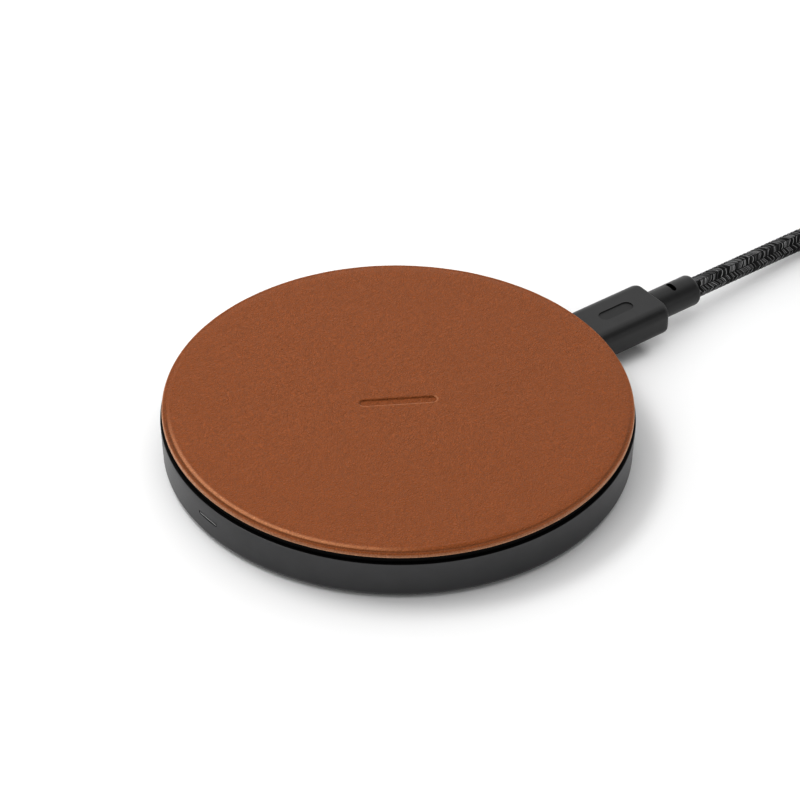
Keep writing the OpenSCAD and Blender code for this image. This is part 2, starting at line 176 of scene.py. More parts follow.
def leather_material():
    """Pebbled, softly wrinkled leather with painted shade in its groove and recesses, a painted highlight
    on its ridge and a lighter raw cut edge with painted sheen.
    """
    s = Shader("tan_leather", Specular_IOR_Level=0.9, Specular_Tint=(1.0, 0.58, 0.27))
    wobble = s.add("ShaderNodeTexNoise", {"Vector": s.coords, "Scale": 900.0, "Detail": 2.0})
    shift = s.add("ShaderNodeVectorMath", {0: wobble.outputs["Color"]}, operation="SCALE")
    shift.inputs["Scale"].default_value = 0.0006
    warp = s.add("ShaderNodeVectorMath", {0: s.coords, 1: shift.outputs[0]}, operation="ADD").outputs[0]
    cells = s.add("ShaderNodeTexVoronoi", {"Vector": warp, "Scale": 2000.0}, feature="DISTANCE_TO_EDGE")
    pebble = s.span(cells.outputs["Distance"], 0.0, 0.28, smooth=True)
    turned = s.add("ShaderNodeMapping", {"Vector": s.coords, "Rotation": (0, 0, math.radians(-62)),
                                         "Scale": (1.0, 0.35, 1.0)}).outputs[0]
    wrinkle = s.noise(1150.0, detail=3, roughness=0.6, vector=turned)
    pores = s.noise(5200.0, detail=2)
    mottling = s.noise(1300.0, detail=4, roughness=0.65)
    cloud = s.noise(45.0, detail=2)
    painted_shade, raw_and_sheen, ridge_light = s.attribute("painted_shade"), s.attribute("raw_edge_and_sheen"), s.attribute("ridge_light")
    tone = s.mix(s.span(mottling, 0.32, 0.68), (0.19, 0.041, 0.0076), (0.328, 0.081, 0.0205))
    tone = s.mix(s.math("MULTIPLY", s.span(cloud, 0.3, 0.7), 0.5), tone, (0.248, 0.059, 0.0138))
    tone = s.mix(s.math("MULTIPLY", s.span(pebble, 1.0, 0.0), 0.3), tone, (0.13, 0.032, 0.006))
    # Painted highlight: the ridge's lit slope is made lighter in colour as well as glossier.
    tone = s.mix(s.math("MULTIPLY", s.math("MAXIMUM", ridge_light, 0.0), 0.75), tone, (0.56, 0.24, 0.12))
    # Painted shade: the groove, the near half of the rim and the pressed bar's recess are darkened in
    # colour.
    tone = s.mix(s.math("MULTIPLY", painted_shade, 0.9), tone, (0.115, 0.022, 0.0015))
    fibre = s.noise(3200.0, detail=4)
    edge = s.mix(s.span(fibre, 0.35, 0.65), (0.5, 0.26, 0.15), (0.7, 0.44, 0.31))
    # The raw cut edge is lighter leather; its share is raised at the sides and on the far bevel as painted
    # sheen.
    s.to(s.mix(raw_and_sheen, tone, edge), "Base Color")
    worn_and_lit = s.span(mottling, 0.3, 0.7, 0.56, 0.68)
    s.to(s.math("MULTIPLY_ADD", s.math("MAXIMUM", ridge_light, 0.0), -0.3, worn_and_lit), "Roughness")
    low = s.bump(wrinkle, 0.32 * MM, 0.8)
    mid = s.bump(pebble, 0.18 * MM, 0.8, low)
    s.to(s.bump(pores, 0.045 * MM, 0.8, mid), "Normal")
    return s.mat


METAL_TONES = ((0.071, 0.071, 0.0725), (0.079, 0.079, 0.0805))


def metal_material(name="gunmetal", gain=1.0):
    s = Shader(name, Metallic=1.0, Specular_IOR_Level=0.5, Coat_Weight=0.08, Coat_Roughness=0.25)
    blast = s.noise(7000.0, detail=2)
    dark, light = [tuple(v * gain for v in tone) for tone in METAL_TONES]
    s.to(s.mix(s.span(s.noise(160.0), 0.3, 0.7), dark, light), "Base Color")
    s.to(s.span(blast, 0.3, 0.7, 0.36, 0.44), "Roughness")
    s.to(s.bump(blast, 0.008 * MM, 0.5), "Normal")
    return s.mat


def grip_material():
    s = Shader("grip_plastic", Specular_IOR_Level=0.45)
    spark = s.noise(6500.0, detail=2)
    broad = s.noise(380.0, detail=3)
    s.to(s.mix(s.span(broad, 0.3, 0.7), (0.007, 0.007, 0.0072), (0.0098, 0.0098, 0.01)), "Base Color")
    s.to(s.span(spark, 0.3, 0.7, 0.34, 0.44), "Roughness")
    s.to(s.bump(spark, 0.012 * MM, 0.6), "Normal")
    return s.mat


STRANDS, YARNS = 10, 3
PICK = 1.24


def braid_material():
    """Braid of three-yarn strands. UV u goes once round the cord and v counts picks along it."""
    s = Shader("cord_braid", Specular_IOR_Level=0.1)
    uv = s.add("ShaderNodeUVMap", uv_map="braid").outputs["UV"]
    xy = s.add("ShaderNodeSeparateXYZ", {"Vector": uv})
    column = s.math("MULTIPLY", xy.outputs["X"], float(STRANDS))
    odd = s.math("GREATER_THAN", s.math("FRACT", s.math("MULTIPLY", column, 0.5)), 0.5)
    slant = s.math("MULTIPLY_ADD", odd, -2.0, 1.0)
    place = s.math("MULTIPLY_ADD", column, slant, xy.outputs["Y"])
    yarns = s.math("MULTIPLY", s.math("FRACT", place), float(YARNS))
    which = s.math("FLOOR", yarns)
    cell = s.add("ShaderNodeCombineXYZ", {"X": s.math("FLOOR", column), "Y": s.math("FLOOR", place),
                                          "Z": which}).outputs[0]
    chance = s.add("ShaderNodeTexWhiteNoise", {"Vector": cell}).outputs["Value"]
    off_middle = s.math("ABSOLUTE", s.math("SUBTRACT", which, (YARNS - 1) / 2))
    share = s.math("MULTIPLY_ADD", off_middle, -0.5, s.math("ADD", chance, 1.0))
    light = s.span(share, 0.9, 1.6, smooth=True)
    round_yarn = s.math("SINE", s.math("MULTIPLY", s.math("FRACT", yarns), math.pi))
    over = s.math("SINE", s.math("MULTIPLY", s.math("FRACT", column), math.pi))
    # Painted shade: the light yarns are a real two-tone pattern, but their colour is kept to yarn crowns
    # and strand middles, darkening the grooves between them.
    ridge_light = s.math("POWER", round_yarn, 2.4)
    shown = s.math("MULTIPLY", s.math("MULTIPLY", light, ridge_light), s.span(over, 0.0, 0.35, smooth=True))
    along = s.math("MULTIPLY", s.math("FRACT", column), 5.0)
    ply = s.add("ShaderNodeCombineXYZ", {"X": along, "Y": s.math("MULTIPLY", place, 12.0)}).outputs[0]
    fuzz = s.noise(1.6, detail=3, vector=ply)
    dark = s.mix(fuzz, (0.0015, 0.0015, 0.0016), (0.006, 0.006, 0.0063))
    grey = s.mix(s.span(fuzz, 0.3, 0.7), (0.13, 0.13, 0.132), (0.52, 0.52, 0.524))
    s.to(s.mix(shown, dark, grey), "Base Color")
    s.to(s.span(fuzz, 0.3, 0.7, 0.5, 0.7), "Roughness")
    s.to(s.bump(s.math("MULTIPLY_ADD", fuzz, 0.35, round_yarn), 0.07 * MM, 0.8), "Normal")
    return s.mat


# ---- mesh helpers
def arc(cx, cy, r, start, end, steps):
    """Points of a circle's arc, angles in degrees."""
    angles = np.radians(np.linspace(start, end, steps + 1))
    return [(cx + r * math.cos(a), cy + r * math.sin(a)) for a in angles]


def loft(rings, caps=True):
    """Vertices and quads through closed rings of equal size, with a face over each end if capped."""
    rings = np.asarray(rings, float)
    count, size = rings.shape[:2]
    a = np.arange(count - 1)[:, None] * size + np.arange(size)[None]
    b = np.arange(count - 1)[:, None] * size + (np.arange(size)[None] + 1) % size
    faces = np.stack([a, b, b + size, a + size], -1).reshape(-1, 4).tolist()
    if caps:
        faces.append(list(range(size))[::-1])
        faces.append(list(range((count - 1) * size, count * size)))
    return rings.reshape(-1, 3), faces


def revolved(profile, size=256):
    """Rings about the Z axis through (r, z) points."""
    angles = np.linspace(0, 2 * math.pi, size, endpoint=False)
    return [np.stack([r * np.cos(angles), r * np.sin(angles), np.full(size, z)], -1) for r, z in profile]


def new_mesh(name, verts, faces):
    mesh = bpy.data.meshes.new(name)
    mesh.from_pydata((np.asarray(verts) * MM).tolist(), [], faces)
    return mesh


def make_object(name, verts, faces, body, slot, mats, sharp):
    mesh = new_mesh(name, verts, faces)
    mesh.polygons.foreach_set("use_smooth", [True] * len(mesh.polygons))
    for mat in mats if isinstance(mats, (list, tuple)) else [mats]:
        mesh.materials.append(mat)
    obj = linked(name, mesh)
    tidy_mesh(mesh, sharp)
    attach(obj, body)
    return obj


def tidy_mesh(mesh, sharp):
    """Normals outward, and edges steeper than sharp degrees creased for shading."""
    bm = bmesh.new()
    bm.from_mesh(mesh)
    bmesh.ops.recalc_face_normals(bm, faces=bm.faces)
    if sharp:
        for edge in bm.edges:
            if len(edge.link_faces) == 2:
                edge.smooth = edge.calc_face_angle(0.0) < math.radians(sharp)
    bm.to_mesh(mesh)
    bm.free()


CUT_SHARP = 35.0


def combine(obj, shapes, operation="DIFFERENCE"):
    """Takes closed shapes away from a piece, or adds them to it."""
    mesh = new_mesh("tool", *merged(shapes))
    tool = linked("tool", mesh)
    tidy_mesh(mesh, 0)
    modifier = obj.modifiers.new("combine", "BOOLEAN")
    modifier.object = tool
    modifier.operation = operation
    modifier.solver = "EXACT"
    bpy.context.view_layer.update()
    done = bpy.data.meshes.new_from_object(obj.evaluated_get(bpy.context.evaluated_depsgraph_get()))
    obj.modifiers.clear()
    obj.data = done
    bpy.data.objects.remove(tool)
    done.polygons.foreach_set("use_smooth", [True] * len(done.polygons))
    tidy_mesh(done, CUT_SHARP)


def merged(shapes):
    """Several (verts, faces) shapes as one."""
    verts, faces, start = [], [], 0
    for v, f in shapes:
        verts.append(np.asarray(v, float))
        faces += [[i + start for i in face] for face in f]
        start += len(v)
    return np.vstack(verts), faces


def moved(shape, offset=(0, 0, 0), turn=0.0):
    """A shape turned about Z by degrees, then shifted."""
    verts, faces = shape
    c, s = math.cos(math.radians(turn)), math.sin(math.radians(turn))
    v = np.asarray(verts, float)
    return np.column_stack([v[:, 0] * c - v[:, 1] * s, v[:, 0] * s + v[:, 1] * c, v[:, 2]]) + offset, faces


def post(profile, size=48):
    """A closed round post about Z through (r, z) points."""
    return loft(revolved(profile, size))


def box_shape(center, size):
    x, y, z = (np.array([-0.5, 0.5]) * s + c for s, c in zip(size, center))
    verts = [(a, b, c) for a in x for b in y for c in z]
    faces = [(0, 1, 3, 2), (4, 6, 7, 5), (0, 4, 5, 1), (2, 3, 7, 6), (0, 2, 6, 4), (1, 5, 7, 3)]
    return np.array(verts), faces


def stadium_ring(length, width, steps=16):
    """A closed outline with round ends, its long axis along the first coordinate."""
    half, r = (length - width) / 2, width / 2
    return np.array(arc(half, 0, r, -90, 90, steps) + arc(-half, 0, r, 90, 270, steps))


def stadium_along_y(length, height, y0, y1, z):
    """A bar with round edges that runs along Y."""
    ring = stadium_ring(length, height)
    return loft([np.column_stack([ring[:, 0], np.full(len(ring), y), ring[:, 1] + z]) for y in (y0, y1)])


def stadium_along_z(length, width, z0, z1, center=(0, 0), turn=0.0):
    """An upright bar with round ends."""
    ring = stadium_ring(length, width)
    verts, faces = loft([np.column_stack([ring, np.full(len(ring), z)]) for z in (z0, z1)])
    return moved((verts, faces), (center[0], center[1], 0), turn)


# ---- cord
CORD_D = 4.8
LEAD = [(0, 82, 5.5), (0, 88, 5.5), (-0.4, 94, 5.1), (-1, 100, 4.5), (-1.6, 106, 3.9), (-2.1, 112, 3.4),
        (-2.4, 118, 3), (-2.3, 124, 2.6), (-1.7, 130, 2.4), (-0.8, 136, 2.4), (-0.2, 141, 2.4),
        (0, 146, 2.4)]
TAIL = [(0, 6.6), (6, 6.9), (12, 7.2), (18, 6.7), (24, 5.6), (30, 4.7), (36, 4.2), (40, 4)]
TAIL_ANGLE = 15
STORE_Y = 146
LOW_RADII = (34.2, 29.4, 24.6, 19.8)
TOP_RADII = (22.2, 27.0, 31.8)
LOW_Z, TOP_Z, CROSS_RISE = 2.4, 6.56, 0.5
OUT_STEP = (0.708, 0.819)
IN_STEP = (0.819, 0.931)
STORE_IN, STORE_OUT, STORE_H = LOW_RADII[3] - CORD_D / 2, LOW_RADII[0] + CORD_D / 2, 9.2
TIE_ANGLE, TIE_T, TIE_WIDTH = 232, 0.6, 10
PINCH_START, PINCH_RUN = 24, 12
TURNS, TURN_STEPS = 6 + (180 - TAIL_ANGLE) / 360, 180


def ease(x):
    x = np.clip(x, 0, 1)
    return x * x * (3 - 2 * x)


def coil_points():
    """The stored turns, wound clockwise from the outside in and then back out on top.
    Every turn steps over to the next groove within the same short arc, under the strap."""
    turn = np.linspace(0, TURNS, int(TURNS * TURN_STEPS))
    radius = np.full_like(turn, LOW_RADII[0])
    height = np.full_like(turn, LOW_Z)
    for k in range(3):
        step = ease((turn - k - IN_STEP[0]) / (IN_STEP[1] - IN_STEP[0]))
        radius += step * (LOW_RADII[k + 1] - LOW_RADII[k])
    stops = (LOW_RADII[3],) + TOP_RADII
    for k in range(3):
        part = (turn - 3 - k - OUT_STEP[0]) / (OUT_STEP[1] - OUT_STEP[0])
        radius += ease(part) * (stops[k + 1] - stops[k])
        if k == 0:
            height += ease(part) * (TOP_Z - LOW_Z)
        else:
            height += CROSS_RISE * np.sin(math.pi * np.clip(part, 0, 1)) ** 2
    angle = 180 - 360 * turn
    off = (angle - TIE_ANGLE + 180) % 360 - 180
    pinch = TIE_T * ease((PINCH_START - np.abs(off)) / PINCH_RUN)
    middle_r, middle_z = np.mean(LOW_RADII), STORE_H / 2
    radius -= pinch * (radius - middle_r) / (LOW_RADII[0] - middle_r + CORD_D / 2)
    height -= pinch * (height - middle_z) / (middle_z - LOW_Z)
    a = np.radians(angle)
    return np.stack([LOW_RADII[0] + radius * np.cos(a), STORE_Y + radius * np.sin(a), height], -1)


def smooth_run(points, step=0.5):
    """A Catmull-Rom curve through the points."""
    p = np.asarray(points, float)
    p = np.vstack([2 * p[0] - p[1], p, 2 * p[-1] - p[-2]])
    out = []
    for i in range(1, len(p) - 2):
        t = np.linspace(0, 1, max(2, int(np.linalg.norm(p[i + 1] - p[i]) / step)), endpoint=False)[:, None]
        out.append(0.5 * (2 * p[i] + (p[i + 1] - p[i - 1]) * t
                          + (2 * p[i - 1] - 5 * p[i] + 4 * p[i + 1] - p[i + 2]) * t ** 2
                          + (3 * p[i] - p[i - 1] - 3 * p[i + 1] + p[i + 2]) * t ** 3))
    return np.vstack(out + [p[-2:-1]])


def cord_route():
    """The whole cord from the small plug's strain relief to the large plug's."""
    lead = smooth_run(LEAD)
    coil = coil_points()
    start, a = coil[-1], math.radians(TAIL_ANGLE)
    tail = smooth_run([(start[0] + d * math.sin(a), start[1] - d * math.cos(a), z) for d, z in TAIL])
    route = np.vstack([lead[:-1], coil, tail[1:]])
    blur = np.ones(9) / 9
    soft = np.stack([np.convolve(np.pad(route[:, k], 4, mode="edge"), blur, "valid") for k in range(3)], -1)
    soft[0], soft[-1] = route[0], route[-1]
    return soft


def length_along(route):
    return np.concatenate([[0], np.cumsum(np.linalg.norm(np.diff(route, axis=0), axis=1))])


def resampled(route, stations):
    s = length_along(route)
    return np.stack([np.interp(stations, s, route[:, k]) for k in range(3)], -1)


def braid_height(u, picks):
    """Height of the braid's surface, 0 to 1, for a share u of the way round and picks along."""
    column = u * STRANDS
    along = column % 1.0
    slant = np.where((column * 0.5) % 1.0 > 0.5, -1.0, 1.0)
    across = (column * slant + picks) % 1.0
    return 0.25 + 0.75 * np.sin(np.pi * along) ** 0.7 * np.sin(np.pi * across) ** 0.6


def frames_along(route):
    """Level side and upward vectors at each point of a route that never stands upright."""
    tangent = np.gradient(route, axis=0)
    tangent /= np.linalg.norm(tangent, axis=1)[:, None]
    side = np.cross(tangent, [0, 0, 1.0])
    side /= np.linalg.norm(side, axis=1)[:, None]
    return side, np.cross(side, tangent)


CORD_SIZE = 64
FINE_REACH, FINE_STEP, COARSE_STEP = 48.0, 0.2, 0.4
BRAID_RELIEF = 0.2


def make_cord():
    """The braided tube along the whole route, with finer rings where the photo's view is close."""
    route = cord_route()
    total = length_along(route)[-1]
    fine, coarse = np.arange(0, FINE_REACH, FINE_STEP), np.arange(FINE_REACH, total, COARSE_STEP)
    stations = np.concatenate([fine, coarse, [total]])
    line = resampled(route, stations)
    side, up = frames_along(line)
    u = np.arange(CORD_SIZE) / CORD_SIZE
    turn, reach = 2 * np.pi * u[None], stations[:, None]
    uneven = 0.1 * np.sin(1.9 * reach + 3 * turn) + 0.07 * np.sin(0.73 * reach - 5 * turn + 1.3)
    picks = reach / PICK + uneven
    height = braid_height(u[None], picks)
    radius = CORD_D / 2 - BRAID_RELIEF * (1 - height)
    spokes = np.cos(turn)[..., None] * side[:, None] + np.sin(turn)[..., None] * up[:, None]
    rings = line[:, None] + radius[..., None] * spokes
    verts, faces = loft(rings)
    obj = make_object("braided_cord", verts, faces, "cable", "cord_braid", braid_material(), sharp=0)
    set_braid_uv(obj.data, u, picks)
    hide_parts("cord_lead", "cord_coil", "cord_tail")
    return obj, line


def set_braid_uv(mesh, u, picks):
    """UVs in turns and picks. A face over the seam ends at a whole turn and doesn't run back to 0."""
    layer = mesh.uv_layers.new(name="braid")
    corner = np.zeros(len(mesh.loops), np.int64)
    mesh.loops.foreach_get("vertex_index", corner)
    ring, spoke = corner // CORD_SIZE, corner % CORD_SIZE
    sizes = np.zeros(len(mesh.polygons), np.int64)
    mesh.polygons.foreach_get("loop_total", sizes)
    face_of = np.repeat(np.arange(len(sizes)), sizes)
    lowest = np.full(len(sizes), CORD_SIZE)
    highest = np.zeros(len(sizes), np.int64)
    np.minimum.at(lowest, face_of, spoke)
    np.maximum.at(highest, face_of, spoke)
    wraps = (highest - lowest)[face_of] > CORD_SIZE // 2
    across = u[spoke] + np.where(wraps & (spoke == 0), 1.0, 0.0)
    layer.data.foreach_set("uv", np.stack([across, picks[ring, spoke]], -1).astype(np.float32).ravel())


cord, cord_line = make_cord()


# ---- leather
def even_stadium(length, width, size):
    """A ring of points on a rectangle with round ends, one for each equal step of angle."""
    out = []
    half, r = (length - width) / 2, width / 2
    for k in range(size):
        a = 2 * math.pi * k / size
        dx, dy = math.cos(a), math.sin(a)
        t = r / max(abs(dy), 1e-9)
        if abs(dx * t) > half:
            s = half * math.copysign(1, dx)
            b, c = dx * s, half * half - r * r
            t = b + math.sqrt(max(b * b - c, 0))
        out.append((dx * t, dy * t))
    return np.array(out)


BAR_L, BAR_W, BAR_ANGLE, BAR_DEPTH = 16.3, 2.05, 59.1, 0.33
CREST_RISE = 0.045
LEATHER_SIZE = 384
# Where the rim's ridge stands highest and its painted highlight is strongest, in degrees round from the
# camera's right over its far side.
RIDGE_SIDE = 231
# The pressed bar's wall from the floor up: growth of the outline, share of the depth, painted shade,
# painted highlight on the lip's lit side.
BAR_WALL = ((-0.22, 0.98, 0.6, 0), (-0.13, 0.86, 0.9, 0), (-0.05, 0.55, 0.9, 0.2), (0.04, 0.28, 0.6, 0.6),
            (0.14, 0.11, 0.25, 0.7), (0.28, 0.03, 0.05, 0.4), (0.5, 0, 0, 0))
# The rim from the flat top out: distance in from the edge, height over the top at the ridge's side and
# at the other side, painted shade in the groove, painted highlight and gloss on the ridge. It swells, drops
# into a groove and rolls over the edge.
RIM = ((3.1, 0, 0, 0, 0), (2.75, -0.005, -0.01, 0, 0), (2.5, -0.015, -0.02, 0, 0),
       (2.3, -0.025, -0.035, 0, 0), (2.12, -0.02, -0.05, 0, 0), (1.98, 0, -0.065, 0, 0),
       (1.85, 0.025, -0.08, 0, 0.1), (1.74, 0.044, -0.095, 0, 0.3), (1.62, 0.035, -0.11, 0, 0.6),
       (1.5, -0.01, -0.13, 0, 1), (1.38, -0.065, -0.15, 0, 1), (1.26, -0.12, -0.175, 0, 1),
       (1.14, -0.175, -0.205, 0.1, 1), (1.02, -0.23, -0.235, 0.6, 0.6), (0.9, -0.268, -0.26, 1, 0.1),
       (0.8, -0.28, -0.27, 1, 0), (0.68, -0.28, -0.27, 1, 0), (0.56, -0.265, -0.26, 0.7, 0),
       (0.44, -0.25, -0.25, 0.4, 0), (0.32, -0.255, -0.255, 0.2, 0), (0.2, -0.3, -0.3, 0.05, 0),
       (0.1, -0.39, -0.39, 0, 0), (0.04, -0.5, -0.5, 0, 0), (0, -0.66, -0.66, 0, 0))
# The rim's unevenness: height, waves round the disc, start.
RIPPLES = ((0.010, 7, 1), (0.008, 17, 2), (0.007, 41, 0))
# The cut edge from the rim down: share of the height, distance out from the edge, share of the raw colour
# (raised at the sides by painted sheen).
CUT_EDGE = ((0.36, 0, 0.45), (0.24, 0, 0.7), (0.14, 0, 0.9), (0.06, -0.01, 1), (0, -0.06, 1))


def make_leather():
    """The disc as rings from the pressed bar's floor out over the top, the rim and the cut edge."""
    low, high = node_box("leather_top")
    edge, base, top = high[0] + 0.07, low[2], high[2]
    size = LEATHER_SIZE
    angles = np.arange(size) * 2 * math.pi / size
    turn = math.radians(BAR_ANGLE)
    bar_way = np.array([math.cos(turn), math.sin(turn)])
    rings, shades = [], {"painted_shade": [], "raw_edge_and_sheen": [], "ridge_light": []}

    def add(points, z, painted_shade=0.0, raw_and_sheen=0.0, ridge_light=0.0):
        rings.append(np.column_stack([points, np.broadcast_to(z, (size,))]))
        for values, shade in zip(shades.values(), (painted_shade, raw_and_sheen, ridge_light)):
            values.append(np.broadcast_to(shade, (size,)))

    def circle(r):
        return np.column_stack([r * np.cos(angles), r * np.sin(angles)])

    def outline(grow):
        local = even_stadium(BAR_L + 2 * grow, BAR_W + 2 * grow, size)
        points = local[:, :1] * bar_way + local[:, 1:] * [-bar_way[1], bar_way[0]]
        return np.roll(points, int(round(turn / (2 * math.pi) * size)), axis=0)

    crest = top
    top = crest - CREST_RISE
    floor = top - BAR_DEPTH
    # The bar's floor, with a little painted shade.
    for grow in (-0.96, -0.6, -0.35):
        add(outline(grow), floor, 0.08)
    for grow, drop, painted_shade, lit_lip in BAR_WALL:
        points = outline(grow)
        across = points @ [bar_way[1], -bar_way[0]] / (BAR_W / 2 + grow)
        along = points @ bar_way - BAR_L / 2
        # Weight of the bar's lit side, where its lip gets a painted highlight and less painted shade.
        worn_and_lit = np.maximum(ease((across - 0.4) / 0.4), ease((along + 0.7) / 0.6))
        add(points, top - drop * BAR_DEPTH, painted_shade * (1 - 0.8 * worn_and_lit), 0.0, lit_lip * worn_and_lit)
    inner = outline(BAR_WALL[-1][0])
    for t in (0.12, 0.28, 0.46, 0.64, 0.82, 1.0):
        add(inner * (1 - t) + circle(12) * t, top)
    for r in np.linspace(15, edge - 3.5, 16):
        add(circle(r), top)
    ripple = sum(rise * np.sin(waves * angles + start) for rise, waves, start in RIPPLES)
    facing = np.cos(angles - math.radians(CAMERA_AZIMUTH + RIDGE_SIDE))
    # The second weight keeps the ridge's painted highlight to the side that faces the rim light.
    pressed, highlight_side = ease((facing - 0.1) / 0.45), ease((facing - 0.64) / 0.34)
    around = angles - math.radians(CAMERA_AZIMUTH)
    side, near_half = np.cos(around) ** 2, ease((0.1 - np.sin(around)) / 0.4)
    # Painted sheen on the raw edge: more raw colour at the sides, where the edge is seen at a grazing
    # angle, and on the far bevel, which catches the light.
    lit = 0.7 + 0.3 * side
    bevel_sheen = np.where(np.sin(around) > 0, np.maximum(side, 0.6), side)
    # Along the rim the painted shade in the groove is kept to the near half, and the painted highlight on
    # the ridge to the side facing the light.
    for inset, near, far, painted_shade, gloss_and_highlight in RIM:
        lift = far + (near - far) * pressed
        z = top + lift + ripple * np.minimum(1.0, np.abs(lift) * 6)
        raw_and_sheen = np.maximum(0.3 if inset < 0.05 else 0.0, bevel_sheen * max(0.0, 1.0 - 4 * inset))
        add(circle(edge - inset), np.minimum(z, crest), painted_shade * near_half, raw_and_sheen, gloss_and_highlight * highlight_side)
    height = crest - base
    for share, out, raw_and_sheen in CUT_EDGE:
        add(circle(edge + out), base + share * height, 0.0, raw_and_sheen * lit)
    for r in (edge - 1.0, 30.0, 8.0):
        add(circle(r), base, 0.0, 1.0)
    verts, faces = loft(rings)
    obj = make_object("leather_disc", verts, faces, "pad", "tan_leather", leather_material(), sharp=60)
    for name, values in shades.items():
        layer = obj.data.attributes.new(name, "FLOAT", "POINT")
        layer.data.foreach_set("value", np.concatenate(values).astype(np.float32))
    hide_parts("leather_top")


make_leather()


# ---- pad shell
PORT_Z, PORT_CUT = LEAD[0][2], (9.34, 3.6)
LED_Z, LED_TURN, LED_SIZE, LED_GAP = 5.25, 2.0, (5.95, 0.9), 0.34
COVER_SCREWS, BOARD_SCREWS = ((45, 135, 225, 315), 41.0), ((30, 150, 270), 31.0)
BASE_Z, FLOOR_Z, BOSS_TOP, BOARD_Z = 1.2, 2.2, 3.3, 2.9
WALL_T, FIT_GAP, SUNK = 1.7, 0.1, 0.5
WALL_LEAN, CHAMFER_TOP, WALL_TOP_R = 0.3, 0.7, 0.16
# Second and third slots: black plastic as painted shade, lighter metal as a painted highlight.
SHADE_INDEX, HIGHLIGHT_INDEX = 1, 2


def at_screws(shape, angles, radius):
    """The same shape at each screw."""
    return [moved(moved(shape, (radius, 0, 0)), turn=a) for a in angles]


def make_housing():
    """The metal tray: a leaning wall, a bevelled foot, screw posts, the port and the light's slot."""
    low, high = node_box("housing")
    rim, lower, upper = high[0], low[2], high[2]
    foot_r, bore = node_box("silicone_foot")[1][0] + FIT_GAP, rim - WALL_T
    profile = [(foot_r, BASE_Z), (foot_r, lower + 0.05), (foot_r + 0.05, lower)]
    profile += [(rim - 0.72, lower), (rim - 0.64, lower + 0.02), (rim - 0.37, lower + 0.28),
                (rim - 0.32, lower + 0.36), (rim - WALL_LEAN, lower + 0.46)]
    wall_foot, wall_top = lower + CHAMFER_TOP, upper - 0.2
    profile += [(rim - WALL_LEAN * (1 - t), wall_foot + t * (wall_top - wall_foot))
                for t in np.linspace(0, 1, 5)]
    profile += arc(rim - WALL_TOP_R, upper - WALL_TOP_R, WALL_TOP_R, 0, 90, 4)[1:]
    profile += [(bore + 0.1, upper), (bore, upper - 0.1), (bore, FLOOR_Z + 0.3), (bore - 0.3, FLOOR_Z)]
    verts, faces = loft(revolved(profile, 320))
    obj = make_object("housing_tray", verts, faces, "pad", "gunmetal_aluminium", [METAL, COVER_AND_SHADE, EDGE_HIGHLIGHT],
                      sharp=40)
    boss = post([(3.2, BASE_Z + SUNK), (3.2, BOSS_TOP - 0.15), (3.05, BOSS_TOP)])
    standoff = post([(2.5, BASE_Z + SUNK), (2.5, BOARD_Z)])
    combine(obj, at_screws(boss, *COVER_SCREWS) + at_screws(standoff, *BOARD_SCREWS), "UNION")
    sink = post([(2.1, lower - 1), (2.1, BASE_Z + 1.3), (1.1, BASE_Z + 1.3), (1.1, BOSS_TOP + 1)])
    pilot = post([(1.0, FLOOR_Z - 0.5), (1.0, BOARD_Z + 1)])
    port = stadium_along_y(*PORT_CUT, rim - 4, rim + 4, PORT_Z)
    light = moved(stadium_along_y(*LED_SIZE, -rim - 4, -rim + 4, LED_Z), turn=LED_TURN)
    combine(obj, at_screws(sink, *COVER_SCREWS) + at_screws(pilot, *BOARD_SCREWS) + [port, light])
    slant = math.sin(math.radians(LED_TURN))
    reach_x, reach_z = [size / 2 + 0.02 for size in LED_SIZE]
    for face in obj.data.polygons:
        x, y, z = face.center / MM
        # Painted shade: the rim's top face gets the black plastic, standing in for the shade and dark
        # reflection under the cover's edge.
        if face.normal.z > 0.9 and z > upper - 0.1:
            face.material_index = SHADE_INDEX
        # Painted highlight: a band along the top of the foot chamfer gets a lighter copy of the metal.
        if lower + 0.3 < z < lower + CHAMFER_TOP and math.hypot(x, y) > rim - 0.4:
            face.material_index = HIGHLIGHT_INDEX
        # Painted shade: the walls of the light's slot get the black plastic, so the gap round the pill
        # reads dark.
        in_wall = y < WALL_T - rim - 0.1 and abs(face.normal.y) <= 0.5
        if in_wall and abs(x + y * slant) < reach_x and abs(z - LED_Z) < reach_z:
            face.material_index = SHADE_INDEX
    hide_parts("housing")


def make_cover():
    """The plastic cover: a skirt inside the housing, an edge over its rim and four screw posts."""
    edge, _, top = node_box("top_cover")[1]
    housing_r, _, rim = node_box("housing")[1]
    bore = housing_r - WALL_T - FIT_GAP
    profile = [(bore - 1.2, rim + 0.1), (bore - 1.2, rim - 1.1), (bore - 0.15, rim - 1.1),
               (bore, rim - 0.95), (bore, rim), (edge - 0.35, rim)]
    profile += [(edge - 0.25, rim + 0.04), (edge - 0.06, rim + 0.28), (edge, rim + 0.42), (edge, top - 0.5)]
    profile += arc(edge - 0.32, top - 0.32, 0.32, 0, 90, 5)[1:]
    verts, faces = loft(revolved(profile, 256))
    obj = make_object("cover_disc", verts, faces, "pad", "cover_plastic", COVER_AND_SHADE, sharp=40)
    boss = post([(2.6, BOSS_TOP), (2.6, rim + 0.5)])
    combine(obj, at_screws(boss, *COVER_SCREWS), "UNION")
    hole = post([(1.0, BOSS_TOP - 1), (1.0, rim - 1)])
    combine(obj, at_screws(hole, *COVER_SCREWS))
    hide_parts("top_cover")


FOOT_IN = 30.0


